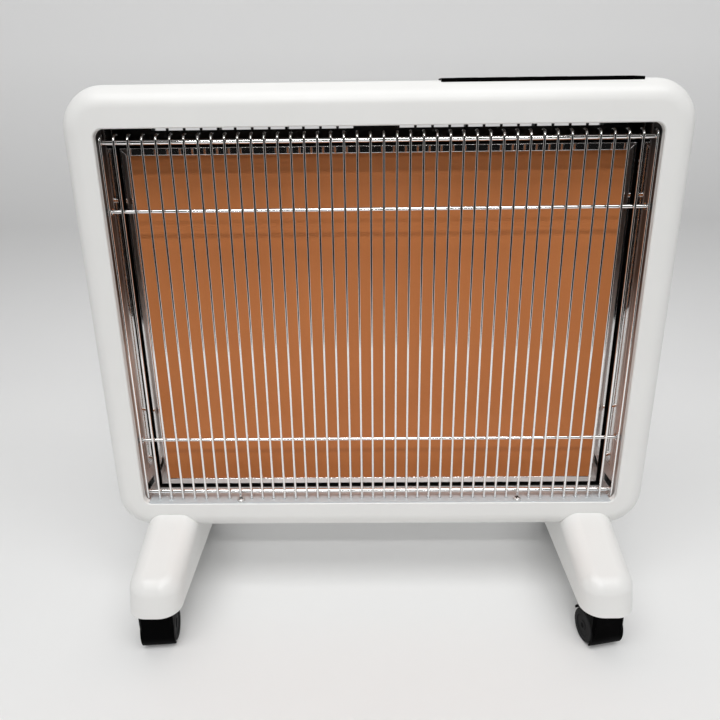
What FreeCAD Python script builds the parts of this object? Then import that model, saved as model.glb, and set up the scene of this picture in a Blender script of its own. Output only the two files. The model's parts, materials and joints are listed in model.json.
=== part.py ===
import FreeCAD, Part
import math
import os

from FreeCAD import Vector

# Far infrared panel heater, in millimetres. The origin is on the floor under the middle of
# the legs, +X is to the right of someone facing the heater, -Y is its front, +Z is up.

# Whole body
body_width = 645.0
body_height = 516.0
body_depth = 100.0
body_corner = 45.0
front_round = 22.0
rear_round = 16.0
shell_wall = 3.0
cover_depth = 43.0
cavity_chamfer_share = 0.65

# Legs and the height of the body over the floor
leg_length = 280.0
leg_width = 61.0
leg_side_inset = 61.0
leg_front_overhang = 95.0
leg_saddle_height = 54.0
leg_toe_height = 43.0
leg_rise = 77.5
leg_lean_share = 0.115
leg_plan_corner = 24.0
leg_edge_round = 20.0
leg_wall = 3.0
leg_base_thickness = 2.5
caster_height = 54.0

# Front opening of the white frame
border_side = 35.5
border_bottom = 38.5
border_top = 41.5
opening_corner = 10.0
lip_depth = 8.5
lip_wall = 2.5
lip_edge_chamfer = 1.0

# Reflector tray behind the opening
tray_sheet = 1.0
tray_rear_room = 16.5
tray_flange = 14.0
tray_front_spread = 1.0
tray_side_taper = 4.5
tray_bottom_drop = 5.5
tray_bottom_taper = 5.0
tray_top_room = 2.0
notch_length = 28.0
notch_height = 11.0
notch_lift = 4.0
notch_setback = 9.0
rivet_count = 3
rivet_pitch = 5.8
rivet_radius = 1.7
rivet_head = 1.0
rivet_drop = 42.0
rivet_setback = 47.0

# Air slots at the top of the tray and of the rear cover
slot_count = 12
slot_gap = 3.0
slot_height = 7.0
slot_drop = 0.7
slot_side_margin = 34.6
slot_middle_gap = 48.4
outlet_count = 3
outlet_height = 10.0
intake_height = 26.0
intake_lift = 40.0

# Wire grille
wire_count = 42
wire_even_gap_count = 27
wire_outer_share = 1.058
wire_side_gap = 1.5
wire_diameter = 2.5
wire_side_count = 6
rail_side_count = 8
rail_diameter = 5.0
cross_diameter = 4.0
wire_setback = 11.0
hook_radius = 6.0
hook_reach = 9.0
hook_drop = 6.7
top_rail_drop = 15.0
upper_cross_drop = 84.5
lower_cross_lift = 80.5
bottom_rail_lift = 9.5
wire_tail = 3.0

# Sheet clips on the tray's side walls, which the cross bars snap into
clip_width = 6.0
clip_sheet = 1.2
clip_fit = 0.1

# Polished strip that the lower wire ends stand in
sill_sheet = 1.0
sill_depth = 18.0
sill_front_gap = 0.8
sill_flange = 4.0
sill_hole_clearance = 0.3
sill_screw_spacing = 337.0
sill_screw_setback = 5.2

# Radiating panel and its bright trim
panel_side_gap = 6.0
panel_top_gap = 22.5
panel_lift = 5.0
post_length = 15.0
trim_sheet = 1.0
trim_face = 8.0
trim_fit = 0.2
plate_thickness = 1.5
element_thickness = 1.0
insulation_thickness = 7.0
back_plate_thickness = 1.0
post_radius = 7.0
panel_post_shares = (-0.38, 0.38)

# Screws
screw_radius = 2.0
screw_side_count = 6
head_side_count = 8
boss_side_count = 8
screw_head_radius = 4.2
screw_head_height = 2.4
screw_length = 10.0
cover_screw_seat = 5.0
screw_clearance = 0.3
recess_width = 1.1
recess_depth = 1.2
recess_span = 5.0
boss_radius = 5.0
boss_inset = 12.0
side_boss_shares = (-0.34, 0.34)
level_boss_shares = (0.0,)
tray_boss_shares = (-0.35, 0.35)
leg_screw_front_inset = 26.0
leg_screw_rear_inset = 20.0
leg_boss_height = 13.0
leg_screw_seat = 8.0

# Control strip on the top
strip_length = 200.8
strip_depth = 34.0
strip_thickness = 4.0
strip_sink = 2.0
strip_end_inset = 57.5
strip_setback = 13.5
strip_end_slope = 12.0
strip_end_height = 3.4
strip_edge_round = 1.0
strip_skirt = 9.0
strip_skirt_wall = 2.0
strip_skirt_inset = 3.0
button_count = 4
button_length = 22.0
button_depth = 14.0
button_pitch = 30.0
button_first_inset = 26.0
button_gap = 0.4
button_travel = 0.8
button_flange = 1.5
button_height = 6.0
button_crown = 0.3
window_length = 40.0
window_depth = 16.0
window_thickness = 1.2
window_step = 1.2
window_end_margin = 12.0
board_thickness = 1.6
board_margin = 6.0
switch_side = 6.0
switch_gap = 0.3

# Inner electric pieces
thermostat_radius = 8.0
thermostat_height = 8.0
thermostat_ear = 24.0
fuse_radius = 2.2
fuse_length = 18.0
block_length = 46.0
block_depth = 22.0
block_height = 16.0
block_way_count = 4
block_hole_radius = 2.6
tip_switch_length = 20.0
tip_switch_depth = 12.0
tip_switch_height = 18.0
relay_board_length = 90.0
relay_board_depth = 40.0
relay_height = 15.0
relay_length = 20.0
relay_count = 2
gland_radius = 8.0
gland_side_count = 16
gland_bore = 3.6
gland_flange = 10.5
gland_flange_height = 3.0
gland_leg_gap = 31.0
gland_lift = 24.0
block_offset = 80.0
tip_switch_offset = -80.0
relay_end_inset = 117.0
relay_rear_inset = 6.0
fuse_offset = 120.0

# Casters
wheel_radius = 20.0
wheel_width = 15.0
wheel_edge_chamfer = 1.5
wheel_side_gap = 0.5
hood_web = 8.0
hood_gap = 1.2
hood_wall = 2.4
hood_open_angles = (220.0, 252.0, 285.0, 330.0, 388.0)
hood_brow_reach = 8.5
hood_corner = 3.0
hood_top_gap = 0.5
axle_radius = 3.0
axle_fit = 0.02
running_clearance = 0.05
stem_radius = 4.0
stem_grip = 24.0
stem_seat_height = 42.0
stem_seat_gap = 0.3
stem_boss_wall = 4.5
caster_inset = 20.0
caster_trail = 12.0
left_caster_angle = 5.0
right_caster_angle = 12.0
rear_caster_angle = 90.0

# Shared fits
seat_clearance = 0.3
overrun = 5.0
relief = 0.05
same_place = 0.001

# Places worked out from the sizes above
body_bottom = caster_height + leg_saddle_height
body_top = body_bottom + body_height
leg_spacing = body_width - 2 * leg_side_inset
body_front = leg_front_overhang - leg_length / 2
body_back = body_front + body_depth
frame_depth = body_depth - cover_depth
parting = body_front + frame_depth
opening_width = body_width - 2 * border_side
opening_height = body_height - border_bottom - border_top
opening_bottom = body_bottom + border_bottom
opening_top = opening_bottom + opening_height
opening_middle = opening_bottom + opening_height / 2
wire_plane = body_front + wire_setback
tray_front = body_front + lip_depth
tray_depth = body_depth - lip_depth - tray_rear_room
tray_back = tray_front + tray_depth
trim_depth = (plate_thickness + element_thickness + insulation_thickness
              + back_plate_thickness + 2 * trim_sheet)
panel_front = tray_back - post_length + trim_sheet - trim_depth
panel_bottom = opening_bottom - tray_bottom_drop - tray_bottom_taper + panel_lift
panel_outer_width = opening_width - 2 * panel_side_gap
panel_outer_height = opening_top - panel_top_gap - panel_bottom
panel_middle = panel_bottom + panel_outer_height / 2
sill_top = opening_bottom + sill_sheet
strip_front = body_front + strip_setback
strip_left = body_width / 2 - strip_end_inset - strip_length
strip_base = body_top - strip_sink
slot_group_width = (opening_width - slot_middle_gap) / 2 - slot_side_margin
slot_top = opening_top + tray_top_room - slot_drop
inner_top = body_top - shell_wall
inner_bottom = body_bottom + shell_wall
gland_offset = leg_spacing / 2 - leg_width / 2 - gland_leg_gap
relay_offset = relay_end_inset - opening_width / 2


def box(x_size, y_size, z_size, x_mid, y_low, z_low):
    return Part.makeBox(x_size, y_size, z_size, Vector(x_mid - x_size / 2, y_low, z_low))


def rod_y(radius, length, x, y, z):
    return Part.makeCylinder(radius, length, Vector(x, y, z), Vector(0, 1, 0))


def rod_z(radius, length, x, y, z):
    return Part.makeCylinder(radius, length, Vector(x, y, z), Vector(0, 0, 1))


def rod_x(radius, length, x, y, z):
    return Part.makeCylinder(radius, length, Vector(x, y, z), Vector(1, 0, 0))


def prism(sides, radius, start, along):
    """A straight bar of even sides, its flats as far from the middle as radius, one flat facing +X or +Z."""
    across = Vector(1, 0, 0) if abs(along.x) < abs(along.y) + abs(along.z) else Vector(0, 0, 1)
    third = along.cross(across).normalize()
    corner = radius / math.cos(math.pi / sides)
    points = []
    for index in range(sides):
        turn = (index + 0.5) * 2 * math.pi / sides
        points.append(start + across * (corner * math.cos(turn)) + third * (corner * math.sin(turn)))
    return Part.Face(Part.makePolygon(points + points[:1])).extrude(along)


def edges_along(shape, axis):
    lengths = {"x": "XLength", "y": "YLength", "z": "ZLength"}
    others = [lengths[name] for name in lengths if name != axis]
    return [e for e in shape.Edges if all(getattr(e.BoundBox, o) < same_place for o in others)]


def edges_at(shape, limit_low, limit_high, value):
    found = []
    for edge in shape.Edges:
        low = getattr(edge.BoundBox, limit_low)
        high = getattr(edge.BoundBox, limit_high)
        if abs(low - value) < same_place and abs(high - value) < same_place:
            found.append(edge)
    return found


def rounded_slab(width, height, corner, y_low, depth, z_low):
    """A slab facing the front, with its four corners rounded in the front view."""
    slab = box(width, depth, height, 0, y_low, z_low)
    return slab.makeFillet(corner, edges_along(slab, "y"))


def body_form(grow):
    """The outer form of the whole body, made larger all round by grow."""
    slab = rounded_slab(body_width + 2 * grow, body_height + 2 * grow, body_corner + grow,
                        body_front - grow, body_depth + 2 * grow, body_bottom - grow)
    slab = slab.makeFillet(front_round + grow, edges_at(slab, "YMin", "YMax", body_front - grow))
    return slab.makeFillet(rear_round + grow, edges_at(slab, "YMin", "YMax", body_back + grow))


def join(shapes):
    whole = shapes[0].multiFuse(shapes[1:])
    return whole.removeSplitter()


def group(shapes):
    return Part.makeCompound(shapes)


def save(name, shape):
    shape.exportStep("parts/" + name + ".step")


def slot_cuts(count, y_low, depth, z_low, height):
    """Air slots cut through a wall that faces the front: two groups, each of count slots."""
    pitch = slot_group_width / count
    cuts = []
    for side in (-1, 1):
        for index in range(count):
            x = side * (slot_middle_gap / 2 + (index + 0.5) * pitch)
            cuts.append(box(pitch - slot_gap, depth, height, x, y_low, z_low))
    return cuts


def perimeter_places():
    """Bosses that hold the rear cover to the front frame."""
    side_x = body_width / 2 - boss_inset
    middle_z = body_bottom + body_height / 2
    places = [(side * side_x, middle_z + share * body_height)
              for side in (-1, 1) for share in side_boss_shares]
    places += [(share * body_width, body_top - boss_inset) for share in level_boss_shares]
    places += [(share * body_width, body_bottom + boss_inset) for share in level_boss_shares]
    return places


def tray_places():
    """Bosses of the front frame that the tray's flange is screwed to."""
    side_x = opening_width / 2 + tray_front_spread + tray_flange / 2
    top_z = opening_top + tray_top_room + tray_flange / 2
    places = [(side * side_x, opening_middle + share * opening_height)
              for side in (-1, 1) for share in tray_boss_shares]
    places += [(share * opening_width, top_z) for share in level_boss_shares]
    return places


def leg_screw_places():
    places = []
    for side in (-1, 1):
        x = side * leg_spacing / 2
        places += [(x, body_front + leg_screw_front_inset), (x, body_back - leg_screw_rear_inset)]
    return places


def screw(seat, inward, length):
    """A screw whose head stands on seat and whose shank points along inward."""
    shank = prism(screw_side_count, screw_radius, seat, inward * length)
    head = prism(head_side_count, screw_head_radius, seat, inward * -screw_head_height)
    return shank.fuse(head)


def screw_hole(seat, inward, length):
    """The hole that a screw's shank turns into."""
    return prism(screw_side_count, screw_radius + relief, seat, inward * length)


def cross_recess(x, y, z):
    """The cross in the top of an upright screw, as two crossed cuts."""
    deep = box(recess_width, recess_span, 2 * recess_depth, x, y - recess_span / 2, z - recess_depth)
    wide = box(recess_span, recess_width, 2 * recess_depth, x, y - recess_width / 2, z - recess_depth)
    return deep.fuse(wide)


def body_cavity():
    """The space inside the white shells, its rounded edges made as flats."""
    inner = rounded_slab(body_width - 2 * shell_wall, body_height - 2 * shell_wall,
                         body_corner - shell_wall, body_front + shell_wall,
                         body_depth - 2 * shell_wall, inner_bottom)
    inner = inner.makeChamfer(front_round * cavity_chamfer_share,
                              edges_at(inner, "YMin", "YMax", body_front + shell_wall))
    return inner.makeChamfer(rear_round * cavity_chamfer_share,
                             edges_at(inner, "YMin", "YMax", body_back - shell_wall))


def half_space(y_low, y_high):
    """A block as wide and high as the body, between two planes."""
    return box(body_width + 2 * overrun, y_high - y_low, body_height + 2 * overrun,
               0, y_low, body_bottom - overrun)


def leg_bosses(form):
    """Bosses on the bottom wall that the leg screws turn into."""
    bosses = []
    for x, y in leg_screw_places():
        boss = prism(boss_side_count, boss_radius, Vector(x, y, body_bottom), Vector(0, 0, leg_boss_height))
        bosses.append(boss.common(form))
    return bosses


def leg_boss_holes():
    up = Vector(0, 0, 1)
    return [screw_hole(Vector(x, y, body_bottom - overrun), up, leg_boss_height + overrun)
            for x, y in leg_screw_places()]


def strip_seat():
    """The cut in the top wall for the control strip: a shallow bed, and a well for its skirt."""
    x_mid = strip_left + strip_length / 2
    bed = box(strip_length + 2 * seat_clearance, strip_depth + 2 * seat_clearance,
              strip_sink + overrun, x_mid, strip_front - seat_clearance, strip_base)
    well = box(strip_length - 2 * strip_skirt_inset + 2 * seat_clearance,
               strip_depth - 2 * strip_skirt_inset + 2 * seat_clearance,
               shell_wall + 2 * overrun, x_mid,
               strip_front + strip_skirt_inset - seat_clearance, inner_top - overrun)
    return bed.fuse(well)


def front_frame():
    form = body_form(0)
    shell = form.cut(body_cavity()).common(half_space(body_front - overrun, parting))
    opening = rounded_slab(opening_width, opening_height, opening_corner,
                           body_front - overrun, frame_depth + 2 * overrun, opening_bottom)
    lip = rounded_slab(opening_width + 2 * lip_wall, opening_height + 2 * lip_wall,
                       opening_corner + lip_wall, body_front, lip_depth, opening_bottom - lip_wall)
    posts = []
    for x, z in perimeter_places():
        post = prism(boss_side_count, boss_radius, Vector(x, body_front, z), Vector(0, frame_depth, 0))
        posts.append(post.common(form))
    for x, z in tray_places():
        posts.append(prism(boss_side_count, boss_radius, Vector(x, body_front, z), Vector(0, lip_depth, 0)))
    bosses = [boss for boss in leg_bosses(form) if boss.BoundBox.YMax < parting]
    whole = join([shell, lip] + posts + bosses).cut(opening)
    rim = [e for e in edges_at(whole, "YMin", "YMax", body_front)
           if e.BoundBox.XMax < opening_width / 2 + same_place
           and e.BoundBox.XMin > -opening_width / 2 - same_place]
    whole = whole.makeChamfer(lip_edge_chamfer, rim)
    forward = Vector(0, -1, 0)
    holes = [screw_hole(Vector(x, parting, z), forward, screw_length) for x, z in perimeter_places()]
    holes += [screw_hole(Vector(x, tray_front, z), forward, lip_depth - shell_wall) for x, z in tray_places()]
    holes += leg_boss_holes()
    for side in (-1, 1):
        seat = Vector(side * sill_screw_spacing / 2, body_front + sill_screw_setback, opening_bottom)
        holes.append(screw_hole(seat, Vector(0, 0, -1), screw_length))
    holes.append(strip_seat())
    return whole.cut(group(holes))


def rear_cover():
    form = body_form(0)
    shell = form.cut(body_cavity()).common(half_space(parting, body_back + overrun))
    posts = []
    for x, z in perimeter_places():
        post = prism(boss_side_count, boss_radius, Vector(x, parting, z), Vector(0, body_back - parting, 0))
        posts.append(post.common(form))
    bosses = [boss for boss in leg_bosses(form) if boss.BoundBox.YMin > parting]
    whole = join([shell] + posts + bosses)
    wall_low = body_back - shell_wall - overrun
    wall_cut = shell_wall + 2 * overrun
    cuts = slot_cuts(outlet_count, wall_low, wall_cut, slot_top - outlet_height, outlet_height)
    cuts += slot_cuts(slot_count, wall_low, wall_cut, body_bottom + intake_lift, intake_height)
    back = Vector(0, 1, 0)
    for x, z in perimeter_places():
        cuts.append(prism(screw_side_count, screw_radius + screw_clearance,
                          Vector(x, parting - overrun, z), back * body_depth))
        cuts.append(prism(head_side_count, screw_head_radius + screw_clearance,
                          Vector(x, parting + cover_screw_seat, z), back * body_depth))
    cuts += leg_boss_holes()
    cuts.append(strip_seat())
    gland_start = Vector(gland_offset, wall_low, body_bottom + gland_lift)
    cuts.append(prism(gland_side_count, gland_radius, gland_start, back * wall_cut))
    return whole.cut(group(cuts))


def tray_form(grow):
    """The tray's inside as a tapered block, made larger all round by grow."""
    front_half = opening_width / 2 + tray_front_spread + grow
    back_half = front_half - tray_side_taper
    top = opening_top + tray_top_room + grow
    front_low = opening_bottom - tray_bottom_drop - grow
    back_low = front_low - tray_bottom_taper
    front_corners = [(-front_half, front_low), (front_half, front_low), (front_half, top), (-front_half, top)]
    back_corners = [(-back_half, back_low), (back_half, back_low), (back_half, top), (-back_half, top)]
    wires = []
    for y, corners in ((tray_front, front_corners), (tray_back + grow, back_corners)):
        points = [Vector(x, y, z) for x, z in corners]
        wires.append(Part.makePolygon(points + points[:1]))
    return Part.makeLoft(wires, True, True)


def rivet_places():
    top = opening_top - rivet_drop
    return [top - index * rivet_pitch for index in range(rivet_count)]


def tray_side_at(y):
    """Half of the tray's inner width at a place along its depth."""
    share = (y - tray_front) / tray_depth
    return opening_width / 2 + tray_front_spread - tray_side_taper * share


def reflector_tray():
    pan = tray_form(tray_sheet).cut(tray_form(0))
    half = opening_width / 2 + tray_front_spread + tray_flange
    low = opening_bottom - tray_bottom_drop - tray_sheet
    high = opening_top + tray_top_room + tray_flange
    flange = box(2 * half, tray_sheet, high - low, 0, tray_front, low)
    window = box(opening_width + 2 * tray_front_spread, tray_sheet + 2 * overrun,
                 high - tray_flange - low - tray_sheet, 0, tray_front - overrun, low + tray_sheet)
    whole = join([pan, flange.cut(window)])
    wall_cut = tray_sheet + 2 * overrun
    cuts = slot_cuts(slot_count, tray_back - overrun, wall_cut, slot_top - slot_height, slot_height)
    for side in (-1, 1):
        cuts.append(box(2 * overrun + tray_side_taper, notch_length, notch_height,
                        side * opening_width / 2, tray_front + notch_setback, opening_bottom + notch_lift))
    starts = [Vector(x, tray_front - overrun, z) for x, z in tray_places()]
    starts += [Vector(x, tray_back - overrun, z) for x, z in panel_post_places()]
    for start in starts:
        cuts.append(prism(screw_side_count, screw_radius + screw_clearance, start, Vector(0, wall_cut, 0)))
    return whole.cut(group(cuts))


def tray_rivets():
    """Small bright rivet heads, in threes, on the inside of both side walls."""
    rivets = []
    y = tray_front + rivet_setback
    for side in (-1, 1):
        wall = tray_side_at(y + rivet_radius) - relief
        for z in rivet_places():
            start = Vector(side * wall, y, z)
            rivets.append(prism(head_side_count, rivet_radius, start, Vector(-side * rivet_head, 0, 0)))
    return group(rivets)


def tray_screws():
    forward = Vector(0, -1, 0)
    length = tray_sheet + lip_depth - shell_wall - relief
    seats = [Vector(x, tray_front + tray_sheet, z) for x, z in tray_places()]
    return group([screw(seat, forward, length) for seat in seats])


def wire_pitch():
    """Even pitch of the middle wires; the gaps near both ends are a little wider."""
    side_gaps = wire_count - 1 - wire_even_gap_count
    span = opening_width - 2 * wire_side_gap - wire_diameter
    return span / (wire_even_gap_count + side_gaps * wire_outer_share)


def wire_places():
    """Middles of the upright wires."""
    side_gaps = (wire_count - 1 - wire_even_gap_count) // 2
    pitch = wire_pitch()
    outer = [pitch * wire_outer_share] * side_gaps
    gaps = outer + [pitch] * wire_even_gap_count + outer
    x = -sum(gaps) / 2
    places = [x]
    for gap in gaps:
        x += gap
        places.append(x)
    return places


def upright_wire(x):
    """One upright: from under the sill up to the hook, bent back in two steps."""
    low = opening_bottom - wire_tail
    high = opening_top - hook_drop
    step = hook_radius * math.tan(math.pi / 8)
    path = [Vector(x, wire_plane, low), Vector(x, wire_plane, high - hook_radius + step),
            Vector(x, wire_plane + hook_radius - step, high), Vector(x, wire_plane + hook_reach, high)]
    corner = wire_diameter / 2 / math.cos(math.pi / wire_side_count)
    section = []
    for index in range(wire_side_count):
        turn = index * 2 * math.pi / wire_side_count
        section.append(path[0] + Vector(corner * math.cos(turn), corner * math.sin(turn), 0))
    profile = Part.makePolygon(section + section[:1])
    return Part.makePolygon(path).makePipeShell([profile], True, False, 1)


def rail(diameter, y, z):
    """A level bar that reaches almost to the tray's side walls."""
    half = tray_side_at(y + diameter / 2) - seat_clearance
    return prism(rail_side_count, diameter / 2, Vector(-half, y, z), Vector(2 * half, 0, 0))


def behind_wires(diameter):
    """The level bars are welded to the backs of the upright wires."""
    return wire_plane + (wire_diameter + diameter) / 2


def cross_heights():
    return (opening_top - upper_cross_drop, opening_bottom + lower_cross_lift)


def grille():
    """Upright wires, welded flat to flat to the level bars."""
    wires = [upright_wire(x) for x in wire_places()]
    rail_y = behind_wires(rail_diameter)
    cross_y = behind_wires(cross_diameter)
    rails = [rail(rail_diameter, rail_y, opening_top - top_rail_drop - rail_diameter / 2)]
    rails += [rail(cross_diameter, cross_y, z) for z in cross_heights()]
    rails.append(rail(rail_diameter, rail_y, opening_bottom + bottom_rail_lift))
    return group(wires + rails)


def grille_clips():
    """Sheet clips, open to the front, spot welded to the side walls round the ends of the cross bars."""
    clips = []
    y_mid = behind_wires(cross_diameter)
    half = cross_diameter / 2 + clip_fit
    y_low = y_mid - cross_diameter / 2 + clip_fit
    y_back = y_mid + half
    depth = y_back + clip_sheet - y_low
    wall = tray_side_at(y_back + clip_sheet) - relief
    for side in (-1, 1):
        x = side * (wall - clip_width / 2)
        for z in cross_heights():
            shelf = box(clip_width, depth, clip_sheet, x, y_low, z - half - clip_sheet)
            riser = box(clip_width, clip_sheet, 2 * (half + clip_sheet), x, y_back, z - half - clip_sheet)
            roof = box(clip_width, depth, clip_sheet, x, y_low, z + half)
            clips.append(join([shelf, riser, roof]))
    return group(clips)


def sill_strip():
    y_low = body_front + sill_front_gap
    width = opening_width - 2 * seat_clearance
    strip = rounded_slab(width, 2 * opening_corner + sill_sheet, opening_corner - seat_clearance,
                         y_low, sill_depth, opening_bottom)
    strip = strip.common(box(width, sill_depth, sill_sheet, 0, y_low, opening_bottom))
    flange = box(strip.BoundBox.XLength - 2 * opening_corner, sill_sheet, sill_flange, 0,
                 y_low + sill_depth - sill_sheet, opening_bottom - sill_flange + sill_sheet)
    whole = join([strip, flange])
    hole = wire_diameter + 2 * sill_hole_clearance
    cuts = [box(hole, hole, 2 * overrun, x, wire_plane - hole / 2, opening_bottom - overrun)
            for x in wire_places()]
    for side in (-1, 1):
        x = side * sill_screw_spacing / 2
        start = Vector(x, body_front + sill_screw_setback, opening_bottom - overrun)
        cuts.append(prism(screw_side_count, screw_radius + screw_clearance, start, Vector(0, 0, 2 * overrun)))
    return whole.cut(group(cuts))


def sill_screws():
    screws = []
    for side in (-1, 1):
        x = side * sill_screw_spacing / 2
        y = body_front + sill_screw_setback
        length = screw_length - relief
        whole = screw(Vector(x, y, sill_top), Vector(0, 0, -1), length)
        screws.append(whole.cut(cross_recess(x, y, sill_top + screw_head_height)))
    return group(screws)


def panel_post_places():
    return [(x_share * panel_outer_width, panel_middle + z_share * panel_outer_height)
            for x_share in panel_post_shares for z_share in panel_post_shares]


def layer(y_low, thickness):
    """One flat layer of the panel, held inside the trim's channel."""
    inset = trim_sheet + trim_fit
    return box(panel_outer_width - 2 * inset, thickness, panel_outer_height - 2 * inset,
               0, y_low, panel_bottom + inset)


def trim_channel(length):
    """A straight length of U channel, lying along X, its open side up."""
    outer = box(length, trim_depth, trim_face, 0, panel_front, 0)
    hollow = box(length + 2 * overrun, trim_depth - 2 * trim_sheet, trim_face, 0,
                 panel_front + trim_sheet, trim_sheet)
    return outer.cut(hollow)


def mitred(length):
    """The channel with both ends cut at 45 degrees."""
    channel = trim_channel(length)
    cuts = []
    for side in (-1, 1):
        end = side * length / 2
        reach = trim_face + overrun
        points = [Vector(end, panel_front - overrun, 0),
                  Vector(end - side * reach, panel_front - overrun, reach),
                  Vector(end + side * reach, panel_front - overrun, reach)]
        face = Part.Face(Part.makePolygon(points + points[:1]))
        cuts.append(face.extrude(Vector(0, trim_depth + 2 * overrun, 0)))
    return channel.cut(group(cuts))


def trim_pieces():
    turns = {"trim_bottom": 0, "trim_right": -90, "trim_top": 180, "trim_left": 90}
    pieces = {}
    for name, angle in turns.items():
        level = name in ("trim_bottom", "trim_top")
        length = panel_outer_width if level else panel_outer_height
        reach = panel_outer_height / 2 if level else panel_outer_width / 2
        piece = mitred(length)
        piece.translate(Vector(0, 0, -reach))
        piece.rotate(Vector(0, 0, 0), Vector(0, 1, 0), angle)
        piece.translate(Vector(0, 0, panel_middle))
        pieces[name] = piece
    return pieces


def panel_posts():
    """Spacers that hold the panel off the tray's back wall."""
    back = panel_front + trim_depth - trim_sheet
    length = Vector(0, post_length, 0)
    posts = []
    for x, z in panel_post_places():
        start = Vector(x, back, z)
        posts.append(prism(boss_side_count, post_radius, start, length).cut(
            prism(screw_side_count, screw_radius + relief, start, length)))
    return group(posts)


def panel_screws():
    forward = Vector(0, -1, 0)
    seats = [Vector(x, tray_back + tray_sheet, z) for x, z in panel_post_places()]
    return group([screw(seat, forward, screw_length) for seat in seats])


def cover_screws():
    forward = Vector(0, -1, 0)
    length = cover_screw_seat + screw_length - relief
    seats = [Vector(x, parting + cover_screw_seat, z) for x, z in perimeter_places()]
    return group([screw(seat, forward, length) for seat in seats])


def strip_section():
    """The strip's front view: flat, with a slight taper down to its short right end."""
    right = strip_left + strip_length
    points = [Vector(strip_left, strip_front, strip_base), Vector(right, strip_front, strip_base),
              Vector(right, strip_front, strip_base + strip_end_height),
              Vector(right - strip_end_slope, strip_front, strip_top()),
              Vector(strip_left, strip_front, strip_top())]
    return Part.Face(Part.makePolygon(points + points[:1]))


def button_middles():
    y = strip_front + strip_depth / 2
    return [(strip_left + button_first_inset + index * button_pitch, y) for index in range(button_count)]


def window_middle():
    return strip_left + strip_length - strip_end_slope - window_end_margin - window_length / 2


def strip_top():
    return strip_base + strip_thickness


def skirt_bottom():
    return strip_base - strip_skirt


def control_strip():
    plate = strip_section().extrude(Vector(0, strip_depth, 0))
    plate = plate.makeFillet(strip_edge_round, [e for e in edges_at(plate, "ZMin", "ZMax", strip_top())
                                                if e.BoundBox.XLength > strip_depth])
    x_mid = strip_left + strip_length / 2
    y_low = strip_front + strip_skirt_inset
    x_size = strip_length - 2 * strip_skirt_inset
    y_size = strip_depth - 2 * strip_skirt_inset
    skirt = box(x_size, y_size, strip_skirt, x_mid, y_low, skirt_bottom())
    hollow = box(x_size - 2 * strip_skirt_wall, y_size - 2 * strip_skirt_wall,
                 strip_skirt + strip_thickness / 2, x_mid, y_low + strip_skirt_wall, skirt_bottom())
    whole = join([plate, skirt]).cut(hollow)
    cuts = []
    for x, y in button_middles():
        cuts.append(box(button_length + 2 * button_gap, button_depth + 2 * button_gap,
                        strip_thickness + 2 * overrun, x, y - button_depth / 2 - button_gap,
                        strip_base - overrun))
    y = strip_front + strip_depth / 2
    cuts.append(box(window_length, window_depth, strip_thickness + 2 * overrun, window_middle(),
                    y - window_depth / 2, strip_base - overrun))
    cuts.append(box(window_length + 2 * window_step, window_depth + 2 * window_step, overrun,
                    window_middle(), y - window_depth / 2 - window_step, strip_top() - window_thickness))
    return whole.cut(group(cuts))


def display_window():
    y = strip_front + strip_depth / 2
    fit = trim_fit
    return box(window_length + 2 * (window_step - fit), window_depth + 2 * (window_step - fit),
               window_thickness, window_middle(), y - window_depth / 2 - window_step + fit,
               strip_top() - window_thickness)


def button(x, y):
    """A flush push button with a wider foot that stops under the strip."""
    ceiling = strip_base + strip_thickness / 2
    top = strip_top() + button_crown
    cap = box(button_length, button_depth, top - ceiling, x, y - button_depth / 2, ceiling)
    cap = cap.makeFillet(button_gap, edges_at(cap, "ZMin", "ZMax", top))
    foot = box(button_length + 2 * button_flange, button_depth + 2 * button_flange, button_flange,
               x, y - button_depth / 2 - button_flange, ceiling - button_flange)
    plunger = box(switch_side, switch_side, button_height - button_flange, x, y - switch_side / 2,
                  ceiling - button_height)
    return join([cap, foot, plunger])


def board_top():
    return skirt_bottom()


def control_board():
    x_size = strip_length - 2 * board_margin
    y_size = strip_depth - 2 * strip_skirt_inset
    return box(x_size, y_size, board_thickness, strip_left + strip_length / 2,
               strip_front + strip_skirt_inset, board_top() - board_thickness)


def button_switches():
    """Switch under each button: its sprung top stays just below the plunger's lowest place."""
    ceiling = strip_base + strip_thickness / 2
    height = ceiling - button_height - button_travel - switch_gap - board_top()
    switches = []
    for x, y in button_middles():
        switches.append(box(switch_side, switch_side, height, x, y - switch_side / 2, board_top()))
    return group(switches)


def thermostat():
    """A disc thermostat with two ears, on the back of the tray."""
    y = tray_back + tray_sheet
    cup = rod_y(thermostat_radius, thermostat_height, 0, y, panel_middle)
    ears = box(2 * thermostat_ear, tray_sheet, thermostat_radius, 0, y, panel_middle - thermostat_radius / 2)
    blades = [box(tray_sheet, thermostat_height / 2, thermostat_radius / 2,
                  side * thermostat_radius / 2, y + thermostat_height, panel_middle - thermostat_radius / 4)
              for side in (-1, 1)]
    return join([cup, ears] + blades)


def thermal_fuse():
    """A sleeved fuse lying in a saddle on the back of the tray."""
    y = tray_back + tray_sheet
    start = Vector(fuse_offset - fuse_length / 2, y + fuse_radius + tray_sheet, panel_middle)
    body = prism(boss_side_count, fuse_radius, start, Vector(fuse_length, 0, 0))
    saddle = box(fuse_length / 2, tray_sheet + fuse_radius, 2 * fuse_radius,
                 fuse_offset, y, panel_middle - fuse_radius)
    return join([body, saddle])


def terminal_block():
    """A block with screw ways, standing on the rear cover's bottom wall."""
    y_low = parting + boss_radius
    block = box(block_length, block_depth, block_height, block_offset, y_low, inner_bottom)
    ways = []
    pitch = block_length / block_way_count
    for index in range(block_way_count):
        x = block_offset - block_length / 2 + (index + 0.5) * pitch
        ways.append(prism(head_side_count, block_hole_radius,
                          Vector(x, y_low + block_depth / 2, inner_bottom + block_height / 2),
                          Vector(0, 0, block_height)))
    return block.cut(group(ways))


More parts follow.
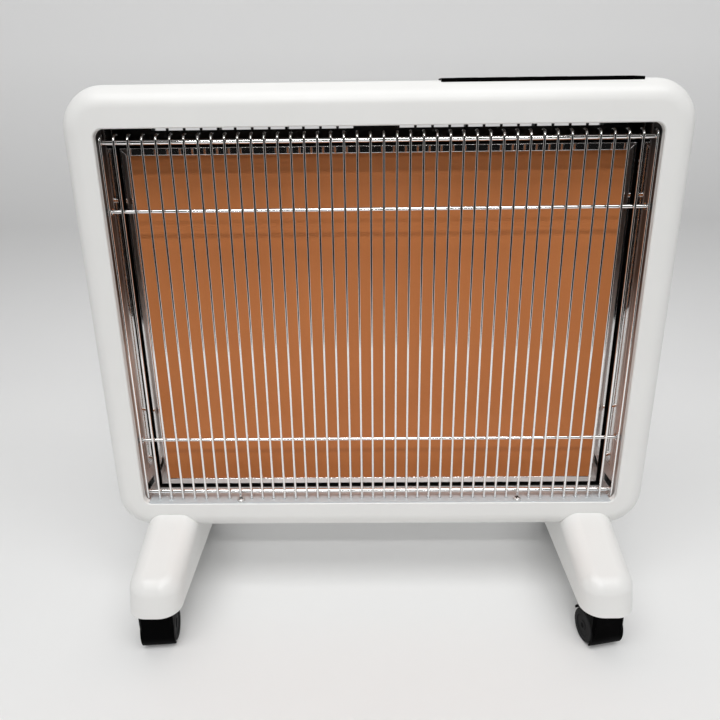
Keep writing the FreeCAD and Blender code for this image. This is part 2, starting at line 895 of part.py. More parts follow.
def tip_over_switch():
    y_low = parting + boss_radius
    case = box(tip_switch_length, tip_switch_depth, tip_switch_height, tip_switch_offset, y_low, inner_bottom)
    case = case.makeChamfer(boss_radius / 2, edges_at(case, "ZMin", "ZMax", inner_bottom + tip_switch_height))
    ear = box(2 * tip_switch_length, tip_switch_depth, tray_sheet, tip_switch_offset, y_low, inner_bottom)
    return join([case, ear])


def relay_board():
    """A power board with two relays, lying on the tray's top wall."""
    z = opening_top + tray_top_room + tray_sheet
    y_low = tray_back - relay_rear_inset - relay_board_depth
    board = box(relay_board_length, relay_board_depth, board_thickness, relay_offset, y_low, z)
    relays = []
    for index in range(relay_count):
        x = relay_offset + (index - (relay_count - 1) / 2) * 2 * relay_length
        relays.append(box(relay_length, relay_board_depth / 2, relay_height, x,
                          y_low + relay_board_depth / 4, z + board_thickness))
    return join([board] + relays)


def cord_gland():
    """The bush that closes the cord hole in the rear cover."""
    z = body_bottom + gland_lift
    inside = Vector(gland_offset, body_back - shell_wall - gland_flange_height, z)
    bush = prism(gland_side_count, gland_radius - running_clearance, inside,
                 Vector(0, shell_wall + gland_flange_height, 0))
    outside = Vector(gland_offset, body_back, z)
    outer = prism(gland_side_count, gland_flange, outside, Vector(0, gland_flange_height, 0))
    bore = rod_y(gland_bore, body_depth, gland_offset, body_back - body_depth / 2, z)
    return bush.fuse(outer).cut(bore)


def leaning(block, height):
    """The bottom face of a left leg's piece, swept up with the leg's lean towards the middle."""
    base = [f for f in block.Faces if f.BoundBox.ZMax < caster_height + same_place][0]
    return base.extrude(Vector(leg_lean_share * height, 0, height))


def leg_half(inset, side):
    """The front or rear half of a left leg: a rounded plan, swept up and cut by a sloping top."""
    reach = leg_front_overhang if side < 0 else leg_length - leg_front_overhang - body_depth
    middle = body_front + body_depth / 2
    end = side * (leg_length / 2 - inset)
    width = leg_width - 2 * inset
    height = 2 * leg_rise
    length = abs(end - middle)
    y_low = min(end, middle)
    block = box(width, length, height, 0, y_low, caster_height)
    uprights = [e for e in edges_along(block, "z") if abs(e.BoundBox.YMin - end) < same_place]
    block = leaning(block.makeFillet(leg_plan_corner - inset, uprights), height)
    slope = (leg_rise - leg_toe_height) / reach
    drop = inset * math.sqrt(1 + slope * slope)
    toe_z = caster_height + leg_toe_height + inset * slope - drop
    far_z = toe_z + slope * length
    high = caster_height + height + overrun
    points = [Vector(-leg_width, end + side * overrun, toe_z - slope * overrun),
              Vector(-leg_width, middle - side * overrun, far_z + slope * overrun),
              Vector(-leg_width, middle - side * overrun, high),
              Vector(-leg_width, end + side * overrun, high)]
    wedge = Part.Face(Part.makePolygon(points + points[:1])).extrude(Vector(2 * leg_width, 0, 0))
    half = block.cut(wedge)
    rim = []
    top_faces = [f for f in half.Faces if f.BoundBox.ZMin > caster_height + same_place
                 and abs(f.normalAt(0, 0).x) < same_place and f.normalAt(0, 0).z > same_place]
    for edge in top_faces[0].Edges:
        if abs(edge.BoundBox.YMin - middle) < same_place and abs(edge.BoundBox.YMax - middle) < same_place:
            continue
        rim.append(edge)
    if inset:
        return half.makeChamfer((leg_edge_round - inset) * cavity_chamfer_share, rim)
    return half.makeFillet(leg_edge_round, rim)


def on_side(shape, side):
    """A left leg's piece, built about x = 0, put on its own side of the heater."""
    if side > 0:
        shape = shape.mirror(Vector(0, 0, 0), Vector(1, 0, 0))
    shape.translate(Vector(side * leg_spacing / 2, 0, 0))
    return shape


def leg_block(inset, side):
    return on_side(join([leg_half(inset, -1), leg_half(inset, 1)]), side)


def stem_places(x_mid):
    """Swivel axes of a leg's two casters, front first."""
    reach = leg_length / 2 - caster_inset
    return [(x_mid, -reach), (x_mid, reach)]


def leg_boss(radius, x, y):
    """A boss inside a leg, from its underside up."""
    return prism(boss_side_count, radius, Vector(x, y, caster_height), Vector(0, 0, leg_rise))


def leg(side):
    x_mid = side * leg_spacing / 2
    outer = leg_block(0, side).cut(body_form(seat_clearance))
    hollow = leg_block(leg_wall, side)
    hollow = hollow.common(box(2 * leg_width, leg_length, leg_saddle_height - seat_clearance - leg_wall,
                               x_mid, -leg_length / 2, caster_height))
    bosses = []
    holes = []
    for x, y in stem_places(x_mid):
        bosses.append(leg_boss(stem_radius + stem_boss_wall, x, y).common(outer))
        holes.append(rod_z(stem_radius + axle_fit, stem_grip, x, y, caster_height))
    for x, y in leg_screw_places():
        if x * side > 0:
            bosses.append(leg_boss(boss_radius + leg_wall, x, y).common(outer))
            start = Vector(x, y, caster_height)
            rise = Vector(0, 0, leg_rise)
            holes.append(prism(screw_side_count, screw_radius + screw_clearance, start, rise))
            holes.append(prism(head_side_count, screw_head_radius + screw_clearance, start,
                               Vector(0, 0, leg_saddle_height - leg_screw_seat)))
    return join([outer.cut(hollow)] + bosses).cut(group(holes))


def leg_base(side):
    """The plate that closes the underside of a leg round its bosses."""
    x_mid = side * leg_spacing / 2
    inset = leg_wall + trim_fit
    plate = box(leg_width - 2 * inset, leg_length - 2 * inset, leg_base_thickness,
                0, inset - leg_length / 2, caster_height)
    plate = plate.makeFillet(leg_plan_corner - inset, edges_along(plate, "z"))
    plate = on_side(leaning(plate, leg_base_thickness), side)
    holes = []
    for x, y in stem_places(x_mid):
        holes.append(leg_boss(stem_radius + stem_boss_wall + trim_fit, x, y))
    for x, y in leg_screw_places():
        if x * side > 0:
            holes.append(leg_boss(boss_radius + leg_wall + trim_fit, x, y))
    return plate.cut(group(holes))


def leg_screws():
    seat = body_bottom - leg_screw_seat
    length = leg_screw_seat + leg_boss_height - seat_clearance
    up = Vector(0, 0, 1)
    return group([screw(Vector(x, y, seat), up, length) for x, y in leg_screw_places()])


def caster_stem():
    """The pin of a caster: its grip is up in the leg, its foot in the hood's brow."""
    low = stem_seat_height + stem_seat_gap
    return rod_z(stem_radius, caster_height + stem_grip - low, 0, 0, low)


def caster_hood():
    """The hood: a drum shell over both wheels, a web between them and a brow that takes the stem."""
    width = hood_web + 2 * (wheel_width + wheel_side_gap)
    inner = wheel_radius + hood_gap
    outer = inner + hood_wall
    x_low = -width / 2
    axle = (caster_trail, wheel_radius)
    drum = rod_x(outer, width, x_low, *axle)
    shell = drum.cut(rod_x(inner, width + 2 * overrun, x_low - overrun, *axle))
    web = rod_x(outer - hood_wall / 2, hood_web, -hood_web / 2, *axle)
    reach = 2 * outer
    points = [Vector(-width, *axle)]
    for angle in hood_open_angles:
        turn = math.radians(angle)
        points.append(Vector(-width, axle[0] + reach * math.cos(turn), axle[1] + reach * math.sin(turn)))
    open_part = Part.Face(Part.makePolygon(points + points[:1])).extrude(Vector(2 * width, 0, 0))
    brow_top = caster_height - hood_top_gap
    front = caster_trail - outer
    brow = box(width, hood_brow_reach - front, brow_top - wheel_radius, 0, front, wheel_radius)
    brow = brow.makeChamfer(hood_corner, edges_along(brow, "z"))
    brow = brow.cut(rod_x(inner, width + 2 * overrun, x_low - overrun, *axle))
    whole = join([join([shell, web]).cut(open_part), brow])
    bore = rod_z(stem_radius + running_clearance, caster_height, 0, 0, stem_seat_height)
    return whole.cut(bore).cut(rod_x(axle_radius + axle_fit, width, x_low, *axle))


def caster_axle():
    """A plain pin, as long as the pair of wheels is wide."""
    half = hood_web / 2 + wheel_side_gap + wheel_width
    return rod_x(axle_radius, 2 * half, -half, caster_trail, wheel_radius)


def caster_wheel(side):
    """One wheel: a tread with its outer edge taken off, and a bore for the axle."""
    inner_face = hood_web / 2 + wheel_side_gap
    x_low = inner_face if side > 0 else -inner_face - wheel_width
    wheel = rod_x(wheel_radius, wheel_width, x_low, caster_trail, wheel_radius)
    outer_face = side * (inner_face + wheel_width)
    wheel = wheel.makeChamfer(wheel_edge_chamfer, edges_at(wheel, "XMin", "XMax", outer_face))
    bore = rod_x(axle_radius + running_clearance, wheel_width + 2 * overrun, x_low - overrun,
                 caster_trail, wheel_radius)
    return wheel.cut(bore)


def caster_corners():
    """Name, swivel axis and rest angle of each caster; the rear pair are turned outwards."""
    corners = []
    for side, side_name, angle in ((-1, "left", left_caster_angle), (1, "right", right_caster_angle)):
        front, rear = stem_places(side * leg_spacing / 2)
        corners.append(("front_" + side_name, front, angle))
        corners.append(("rear_" + side_name, rear, -side * rear_caster_angle))
    return corners


def placed(shape, place, angle):
    moved = shape.copy()
    moved.rotate(Vector(0, 0, 0), Vector(0, 0, 1), angle)
    moved.translate(Vector(place[0], place[1], 0))
    return moved


def build():
    os.makedirs("parts", exist_ok=True)
    save("front_frame", front_frame())
    save("rear_cover", rear_cover())
    save("reflector_tray", reflector_tray())
    save("tray_rivets", tray_rivets())
    save("tray_screws", tray_screws())
    save("grille", grille())
    save("grille_clips", grille_clips())
    save("sill_strip", sill_strip())
    save("sill_screws", sill_screws())
    for name, piece in trim_pieces().items():
        save(name, piece)
    y = panel_front + trim_sheet
    layers = (("heating_panel", plate_thickness), ("heating_element", element_thickness),
              ("insulation_board", insulation_thickness), ("panel_back_plate", back_plate_thickness))
    for name, thickness in layers:
        sheet = layer(y, thickness)
        if name in ("panel_back_plate", "insulation_board"):
            starts = [Vector(x, panel_front, z) for x, z in panel_post_places()]
            hole = screw_radius + screw_clearance
            sheet = sheet.cut(group([prism(screw_side_count, hole, start, Vector(0, body_depth, 0))
                                     for start in starts]))
        save(name, sheet)
        y += thickness
    save("panel_posts", panel_posts())
    save("panel_screws", panel_screws())
    save("cover_screws", cover_screws())
    save("control_strip", control_strip())
    save("display_window", display_window())
    names = ("power_button", "heat_down_button", "heat_up_button", "timer_button")
    for name, place in zip(names, button_middles()):
        save(name, button(*place))
    save("control_board", control_board())
    save("button_switches", button_switches())
    save("thermostat", thermostat())
    save("thermal_fuse", thermal_fuse())
    save("terminal_block", terminal_block())
    save("tip_over_switch", tip_over_switch())
    save("relay_board", relay_board())
    save("cord_gland", cord_gland())
    for side, side_name in ((-1, "left"), (1, "right")):
        save(side_name + "_leg", leg(side))
        save(side_name + "_leg_base", leg_base(side))
    save("leg_screws", leg_screws())
    hood = caster_hood()
    axle = caster_axle()
    stem = caster_stem()
    wheels = {"left": caster_wheel(-1), "right": caster_wheel(1)}
    stems = []
    for name, place, angle in caster_corners():
        save(name + "_hood", placed(hood, place, angle))
        save(name + "_axle", placed(axle, place, angle))
        stems.append(placed(stem, place, angle))
        for wheel_name, wheel in wheels.items():
            save(name + "_wheel_" + wheel_name, placed(wheel, place, angle))
    save("caster_stems", group(stems))


build()
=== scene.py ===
import json
import math

import bmesh
import bpy
from mathutils import Matrix, Vector


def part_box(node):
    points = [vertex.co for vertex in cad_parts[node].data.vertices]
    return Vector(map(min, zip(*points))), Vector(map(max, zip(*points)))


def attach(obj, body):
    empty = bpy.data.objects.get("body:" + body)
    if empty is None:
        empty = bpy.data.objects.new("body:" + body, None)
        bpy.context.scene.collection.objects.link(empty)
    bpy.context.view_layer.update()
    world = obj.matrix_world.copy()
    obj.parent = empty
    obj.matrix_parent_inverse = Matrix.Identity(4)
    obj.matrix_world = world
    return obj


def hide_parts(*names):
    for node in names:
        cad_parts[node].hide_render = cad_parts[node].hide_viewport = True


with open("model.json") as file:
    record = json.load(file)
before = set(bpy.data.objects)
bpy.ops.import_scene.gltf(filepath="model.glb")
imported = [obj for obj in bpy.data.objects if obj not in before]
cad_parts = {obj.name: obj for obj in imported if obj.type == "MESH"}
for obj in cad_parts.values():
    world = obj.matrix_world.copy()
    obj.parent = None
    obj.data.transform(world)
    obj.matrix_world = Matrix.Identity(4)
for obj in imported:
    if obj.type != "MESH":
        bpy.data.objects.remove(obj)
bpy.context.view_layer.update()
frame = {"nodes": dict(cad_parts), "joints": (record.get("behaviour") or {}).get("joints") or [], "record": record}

# Far infrared heater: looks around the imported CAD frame. Lengths are in metres, in the frame's own axes.
nodes = frame["nodes"]
joints = {joint["name"]: joint for joint in frame["joints"]}
CORNERS = ("front_left", "rear_left", "front_right", "rear_right")

# Camera, solved from the photograph
IMAGE_SIDE = 720
FOCAL_PIXELS = 701.0
SENSOR_WIDTH = 36.0
CLIP_START = 0.01
CAMERA_PLACE = Vector((-0.0088, -0.7812, 0.6116))
CAMERA_PITCH = math.radians(20.736)
CAMERA_YAW = math.radians(-0.904)
CAMERA_ROLL = math.radians(-0.773)

# Wire grille: the wires are drawn a little thicker and the top rail a little higher than in the CAD
WIRE_RADIUS = 0.00125
WIRE_SEEN_RADIUS = 0.00142
HOOK_RADIUS = 0.006
RAIL_LIFT = 0.0034
WIRE_STEPS = 14
HOOK_STEPS = 8
NEAR_LEVEL = 0.9

# Casters
WHEEL_ROUND = 0.0022
ROUND_STEPS = 5
WHEEL_STEPS = 64
HUB_RADIUS = 0.0125
HUB_DEPTH = 0.0011
HUB_EDGE = 0.0009
CAP_RADIUS = HUB_RADIUS / 2
BORE_GAP = 0.00006

# Sill screws: the head's size against the CAD's head, then shares of the drawn head's radius or height
HEAD_WIDER = 1.1
HEAD_HEIGHT = 0.9
HEAD_SEAT = 0.55
HEAD_RIM = 0.45
SHANK_LENGTH = 1.5
SHANK_RADIUS = 0.45
CORE_RADIUS = 0.02
CROSS_FROM = 0.5
CROSS_TURN = 0.5
RECESS_SPAN = 0.0030
RECESS_WIDTH = 0.00065
RECESS_DEPTH = 0.0009
SCREW_STEPS = 48
SCREW_RINGS = 12

# Rivets
RIVET_STEPS = 20
RIVET_RINGS = 6

# Signs on the buttons
SIGN_WIDTH = 0.0007
SIGN_PROUD = 0.0001
SIGN_SUNK = 0.0001
SIGN_REACH = 0.0028
SIGN_STEPS = 28
POWER_ARC = (125, 415)
POWER_BAR = (0.0006, 0.0036)
LONG_HAND = 0.0018
SHORT_HAND = 0.0015

# Smoothing of the CAD nodes
WELD_DISTANCE = 0.00001
SHARP_ANGLE = math.radians(32)
BEVEL_STEPS = 3

# Nodes whose hard edges are slightly rounded, by the width of the round
EDGE_ROUNDS = (
    (0.00015, ("display_window",)),
    (0.0002, ("grille_clips",)),
    (0.0003, ("control_strip", "power_button", "heat_down_button", "heat_up_button", "timer_button")),
    (0.0006, ("cord_gland",)),
    (0.0007, tuple(corner + "_hood" for corner in CORNERS)),
    (0.0008, ("trim_top", "trim_bottom", "trim_left", "trim_right")),
)
ROUNDED = {node: width for width, some in EDGE_ROUNDS for node in some}

# Stage: a sheet of pale paper that lies on the floor and turns up behind, with its colour by height: painted
# shade, darkest partway up its turn and lighter again above
FLOOR_HALF = 3.0
FLOOR_FRONT = -1.15
WALL_PLACE = 0.75
WALL_ROUND = 0.35
WALL_HEIGHT = 1.7
WALL_STEPS = 16
PAPER_ROUGHNESS = 0.6
PAPER_PAINTED_SHADE_STOPS = ((0.0, (0.87, 0.87, 0.865)), (0.06, (0.80, 0.80, 0.798)), (0.35, (0.62, 0.62, 0.62)),
               (0.7, (0.8, 0.8, 0.8)))

# Lamps: place, aim, width and height, power in watts
LAMPS = {
    "key": ((0.0, -3.12, 2.94), (0, 0, 0.4), (2.4, 0.15), 39.0),
    "fill": ((0.0, -3.66, 2.09), (0, 0, 0.4), (2.4, 0.15), 18.0),
    "overhead": ((0.0, -1.0, 2.3), (0, -0.1, 0.2), (2.6, 1.0), 28.0),
}

# The room: its level rises over a range of the direction's Z, and to both sides over a range of its X
SKY_RANGE = (0.62, 0.78)
SKY_LEVEL = (0.008, 0.5)
SIDE_RANGE = (0.85, 0.97)
SIDE_LEVEL = (0.0, 0.6)

# Noise in general: the part of its range in use, and how rough it is
NOISE_RANGE = (0.35, 0.65)
NOISE_ROUGHNESS = 0.55

# Stretch of a noise along drawn lines, strands and wipe marks
UPRIGHT = (1, 1, 0.02)
LEVEL = (0.02, 1, 1)
ALONG_STRANDS = (1, 1, 6)
ALONG_WIPES = (1, 5, 1)
EVEN = (1, 1, 1)

# In the materials below, clouds, lines, grain and the like are given in features to a metre. DEPTH is how far
# their relief stands out and STRENGTH how much of it shows. SWING is how far the roughness goes up and down.
# TINTS are stops of (place on the noise, share of the colour).

# Moulded plastic
PLASTIC_CLOUDS = 9.0
PLASTIC_TINTS = ((0.3, 0.975), (0.7, 1.0))
PLASTIC_GLOSS = 40.0
PLASTIC_SWING = 0.05
PLASTIC_GRAIN = 2600.0
PLASTIC_DEPTH = 0.00006
COAT_ROUGHNESS = 0.2

# Metals: bright ones with smears, satin ones with lines
BRIGHT_ROUGHNESS = 0.05
BRIGHT_SWING = (0.7, 1.4)
SATIN_SWING = 0.06
SATIN_STRENGTH = 0.1
METAL_SMEARS = 14.0
SMEAR_TINTS = ((0.3, 0.93), (0.7, 1.0))
METAL_LINES = 60.0
LINE_TINTS = ((0.3, 0.94), (0.7, 1.0))
METAL_GRAIN = 900.0
METAL_DEPTH = 0.00002

# The reflector tray: heights and depths at which its sheet turns from one look to the next
TRAY_FLOOR = (0.172, 0.19)
TRAY_FRONT = (-0.014, -0.008)
TRAY_BACK = (0.007, 0.009)
# Heights over which the tray's front edge turns from painted light to painted dark, a painted reflection
TRAY_PAINTED_REFLECTION_HEIGHT = (0.34, 0.42)

# Its looks from bright to dull, and the levels of its walls, its front edge (painted light below, painted dark
# above: a painted reflection), its floor and its back (painted shade)
TRAY_ROUGHNESS = (0.04, 0.38)
TRAY_METALLIC = (1.0, 0.2)
TRAY_WALL_LEVEL = (0.66, 0.72)
TRAY_STREAKS = 420.0
TRAY_PAINTED_LIGHT_LEVEL = (0.22, 0.7)
TRAY_PAINTED_DARK_LEVEL = (0.004, 0.12)
TRAY_FLOOR_LEVEL = 0.66
TRAY_BACK_PAINTED_SHADE_LEVEL = 0.006
TRAY_STRENGTH = 0.02

# The coated panel: its colours, and the shares of speckle and clouds between them
PANEL_STOPS = ((0.3, (0.54, 0.180, 0.048)), (0.55, (0.61, 0.208, 0.058)), (0.75, (0.67, 0.245, 0.072)))
PANEL_SPECKLE = 1500.0
PANEL_SPECKLE_SHARE = 0.35
PANEL_CLOUDS = 6.0
PANEL_CLOUD_SHARE = (0.25, 0.4)
PANEL_GLOSS = 300.0
PANEL_ROUGHNESS = (0.45, 0.6)
PANEL_STRENGTH = 0.25
PANEL_DEPTH = 0.00008

# Fibre and circuit boards
FIBRE_ROUGHNESS = 0.9
FIBRE_STRANDS = 220.0
FIBRE_TINTS = ((0.25, 0.8), (0.75, 1.0))
FIBRE_STRENGTH = 0.6
FIBRE_DEPTH = 0.0004
BOARD_ROUGHNESS = 0.45
BOARD_TRACKS = 260.0
BOARD_TINTS = ((0.15, 1.6), (0.3, 1.0), (0.8, 0.7))
BOARD_STRENGTH = 0.3
BOARD_DEPTH = 0.0001

# Rubber and the window
RUBBER_SHINE = 0.08
RUBBER_DUST = 55.0
RUBBER_TINTS = ((0.3, 1.0), (0.62, 1.6), (0.8, 2.4))
RUBBER_ROUGHNESS = (0.5, 0.75)
RUBBER_GRAIN = 1800.0
RUBBER_STRENGTH = 0.3
RUBBER_DEPTH = 0.0001
WINDOW_WIPES = 30.0
WINDOW_TINTS = ((0.3, 1.0), (0.7, 1.5))
WINDOW_ROUGHNESS = (0.05, 0.16)

WHITE = (0.86, 0.857, 0.84)
BLACK = (0.0008, 0.0008, 0.0009)


# Helpers for node materials


class Shader:
    """A Principled material with a few procedural inputs, in the object's own metres."""

    def __init__(self, name, roughness, metallic=0.0):
        self.material = bpy.data.materials.new(name)
        self.material.use_nodes = True
        self.tree = self.material.node_tree
        self.bsdf = self.tree.nodes["Principled BSDF"]
        self.bsdf.inputs["Roughness"].default_value = roughness
        self.bsdf.inputs["Metallic"].default_value = metallic
        self.place = self.add("ShaderNodeTexCoord").outputs["Object"]

    def add(self, kind, **settings):
        node = self.tree.nodes.new(kind)
        for key, value in settings.items():
            setattr(node, key, value)
        return node

    def link(self, source, target):
        self.tree.links.new(source, target)

    def axes(self):
        """The object's own coordinates, one by one."""
        split = self.add("ShaderNodeSeparateXYZ")
        self.link(self.place, split.inputs["Vector"])
        return split.outputs

    def noise(self, scale, detail=4.0, stretch=EVEN):
        """Noise with about scale features in a metre."""
        mapping = self.add("ShaderNodeMapping")
        mapping.inputs["Scale"].default_value = stretch
        self.link(self.place, mapping.inputs["Vector"])
        texture = self.add("ShaderNodeTexNoise")
        texture.inputs["Scale"].default_value = scale
        texture.inputs["Detail"].default_value = detail
        texture.inputs["Roughness"].default_value = NOISE_ROUGHNESS
        self.link(mapping.outputs["Vector"], texture.inputs["Vector"])
        return texture.outputs["Fac"]

    def cells(self, scale):
        texture = self.add("ShaderNodeTexVoronoi")
        texture.inputs["Scale"].default_value = scale
        self.link(self.place, texture.inputs["Vector"])
        return texture.outputs["Distance"]

    def spread(self, factor, low, high, from_low=NOISE_RANGE[0], from_high=NOISE_RANGE[1]):
        """A stretch of a factor mapped to a new range, whose ends are numbers or sockets."""
        node = self.add("ShaderNodeMapRange")
        ends = {"From Min": from_low, "From Max": from_high, "To Min": low, "To Max": high}
        for key, value in ends.items():
            if isinstance(value, float):
                node.inputs[key].default_value = value
            else:
                self.link(value, node.inputs[key])
        self.link(factor, node.inputs["Value"])
        return node.outputs["Result"]

    def blend(self, share, low, high):
        """From low to high as a share goes from 0 to 1."""
        return self.spread(share, low, high, 0.0, 1.0)

    def largest(self, first, *others):
        for other in others:
            node = self.add("ShaderNodeMath", operation="MAXIMUM")
            self.link(first, node.inputs[0])
            self.link(other, node.inputs[1])
            first = node.outputs["Value"]
        return first

    def colour(self, factor, *stops):
        """Base colour from a ramp of (place, colour) stops."""
        ramp = self.add("ShaderNodeValToRGB")
        elements = ramp.color_ramp.elements
        while len(elements) < len(stops):
            elements.new(0.5)
        for element, (place, colour) in zip(elements, stops):
            element.position = place
            element.color = (*colour, 1.0)
        self.link(factor, ramp.inputs["Fac"])
        self.link(ramp.outputs["Color"], self.bsdf.inputs["Base Color"])

    def tints(self, factor, colour, stops):
        """Base colour from a ramp of (place, share of one colour) stops."""
        tinted = [(place, tuple(channel * share for channel in colour)) for place, share in stops]
        self.colour(factor, *tinted)

    def rough(self, factor, low, high):
        self.link(self.spread(factor, low, high), self.bsdf.inputs["Roughness"])

    def shine(self, level):
        self.bsdf.inputs["Specular IOR Level"].default_value = level

    def bump(self, height, strength, distance):
        node = self.add("ShaderNodeBump")
        node.inputs["Strength"].default_value = strength
        node.inputs["Distance"].default_value = distance
        self.link(height, node.inputs["Height"])
        self.link(node.outputs["Normal"], self.bsdf.inputs["Normal"])


def moulded_plastic(name, colour, roughness, grain, gloss_coat=0.0, shine=0.5):
    """Moulded plastic: faint mottling, a fine eggshell grain and uneven gloss."""
    shader = Shader(name, roughness)
    shader.tints(shader.noise(PLASTIC_CLOUDS, detail=3.0), colour, PLASTIC_TINTS)
    shader.rough(shader.noise(PLASTIC_GLOSS), roughness - PLASTIC_SWING, roughness + PLASTIC_SWING)
    shader.bump(shader.noise(PLASTIC_GRAIN, detail=2.0), grain, PLASTIC_DEPTH)
    shader.shine(shine)
    shader.bsdf.inputs["Coat Weight"].default_value = gloss_coat
    shader.bsdf.inputs["Coat Roughness"].default_value = COAT_ROUGHNESS
    return shader.material


def bright_metal(name, colour, roughness, stretch, grain):
    """Polished or drawn metal: fine lines along the piece and faint smears."""
    shader = Shader(name, roughness, metallic=1.0)
    shader.tints(shader.noise(METAL_SMEARS, detail=5.0), colour, SMEAR_TINTS)
    shader.rough(shader.noise(METAL_LINES, stretch=stretch), *(roughness * share for share in BRIGHT_SWING))
    shader.bump(shader.noise(METAL_GRAIN, detail=2.0, stretch=stretch), grain, METAL_DEPTH)
    return shader.material


def satin_metal(name, colour, roughness, metallic):
    """Dull plated sheet: partly metallic, with drawn lines along its length."""
    shader = Shader(name, roughness, metallic)
    lines = shader.noise(METAL_LINES, detail=5.0, stretch=LEVEL)
    shader.tints(lines, colour, LINE_TINTS)
    shader.rough(lines, roughness - SATIN_SWING, roughness + SATIN_SWING)
    shader.bump(shader.noise(METAL_GRAIN, detail=2.0, stretch=LEVEL), SATIN_STRENGTH, METAL_DEPTH)
    return shader.material


def tray_steel(name):
    """The reflector tray: bright walls, a dull front edge with a painted reflection, light below and dark above, a
    dull floor, and a back painted black as shade.
    """
    shader = Shader(name, BRIGHT_ROUGHNESS, metallic=1.0)
    axes = shader.axes()
    floor = shader.spread(axes["Z"], 1.0, 0.0, *TRAY_FLOOR)
    front = shader.spread(axes["Y"], 1.0, 0.0, *TRAY_FRONT)
    back = shader.spread(axes["Y"], 0.0, 1.0, *TRAY_BACK)
    dull = shader.largest(floor, front, back)
    shader.link(shader.blend(dull, *TRAY_ROUGHNESS), shader.bsdf.inputs["Roughness"])
    shader.link(shader.blend(dull, *TRAY_METALLIC), shader.bsdf.inputs["Metallic"])
    streaks = shader.noise(TRAY_STREAKS, detail=2.0, stretch=UPRIGHT)
    # Painted reflection: the front edge is drawn light low down and dark higher up, with vertical streaks
    painted_light = shader.spread(streaks, *TRAY_PAINTED_LIGHT_LEVEL)
    painted_dark = shader.spread(streaks, *TRAY_PAINTED_DARK_LEVEL)
    edge = shader.spread(axes["Z"], painted_light, painted_dark, *TRAY_PAINTED_REFLECTION_HEIGHT)
    wall = shader.spread(shader.noise(METAL_SMEARS, detail=5.0), *TRAY_WALL_LEVEL)
    level = shader.blend(front, wall, edge)
    level = shader.blend(floor, level, TRAY_FLOOR_LEVEL)
    # Painted shade: the back of the tray, behind the panel and in the gaps, is drawn near black
    level = shader.blend(back, level, TRAY_BACK_PAINTED_SHADE_LEVEL)
    shader.link(level, shader.bsdf.inputs["Base Color"])
    shader.bump(shader.noise(METAL_GRAIN, detail=2.0, stretch=LEVEL), TRAY_STRENGTH, METAL_DEPTH)
    return shader.material


def coated_panel(name):
    """Ceramic coating of the radiating panel: sprayed speckle over an orange-brown ground."""
    shader = Shader(name, roughness=0.5)
    speckle = shader.noise(PANEL_SPECKLE, detail=3.0)
    clouds = shader.noise(PANEL_CLOUDS, detail=3.0)
    mixed = shader.add("ShaderNodeMath", operation="MULTIPLY_ADD")
    mixed.inputs[1].default_value = PANEL_SPECKLE_SHARE
    shader.link(speckle, mixed.inputs[0])
    shader.link(shader.spread(clouds, *PANEL_CLOUD_SHARE), mixed.inputs[2])
    shader.colour(mixed.outputs["Value"], *PANEL_STOPS)
    shader.rough(shader.noise(PANEL_GLOSS), *PANEL_ROUGHNESS)
    shader.bump(speckle, PANEL_STRENGTH, PANEL_DEPTH)
    return shader.material


def fibre_board(name, colour):
    """Pressed fibre: strands that stand out a little."""
    shader = Shader(name, FIBRE_ROUGHNESS)
    strands = shader.noise(FIBRE_STRANDS, detail=6.0, stretch=ALONG_STRANDS)
    shader.tints(strands, colour, FIBRE_TINTS)
    shader.bump(strands, FIBRE_STRENGTH, FIBRE_DEPTH)
    return shader.material


def circuit_board(name, colour):
    """Lacquered board: lighter tracks between darker fields."""
    shader = Shader(name, BOARD_ROUGHNESS)
    tracks = shader.cells(BOARD_TRACKS)
    shader.tints(tracks, colour, BOARD_TINTS)
    shader.bump(tracks, BOARD_STRENGTH, BOARD_DEPTH)
    return shader.material


def tyre_rubber(name, colour):
    """Dull rubber with dust on it."""
    shader = Shader(name, roughness=0.6)
    shader.shine(RUBBER_SHINE)
    dust = shader.noise(RUBBER_DUST, detail=6.0)
    shader.tints(dust, colour, RUBBER_TINTS)
    shader.rough(dust, *RUBBER_ROUGHNESS)
    shader.bump(shader.noise(RUBBER_GRAIN, detail=3.0), RUBBER_STRENGTH, RUBBER_DEPTH)
    return shader.material


def dark_window(name, colour):
    """The display's tinted window: smooth, with faint wipe marks."""
    shader = Shader(name, roughness=0.08)
    wipes = shader.noise(WINDOW_WIPES, detail=5.0, stretch=ALONG_WIPES)
    shader.tints(wipes, colour, WINDOW_TINTS)
    shader.rough(wipes, *WINDOW_ROUGHNESS)
    return shader.material


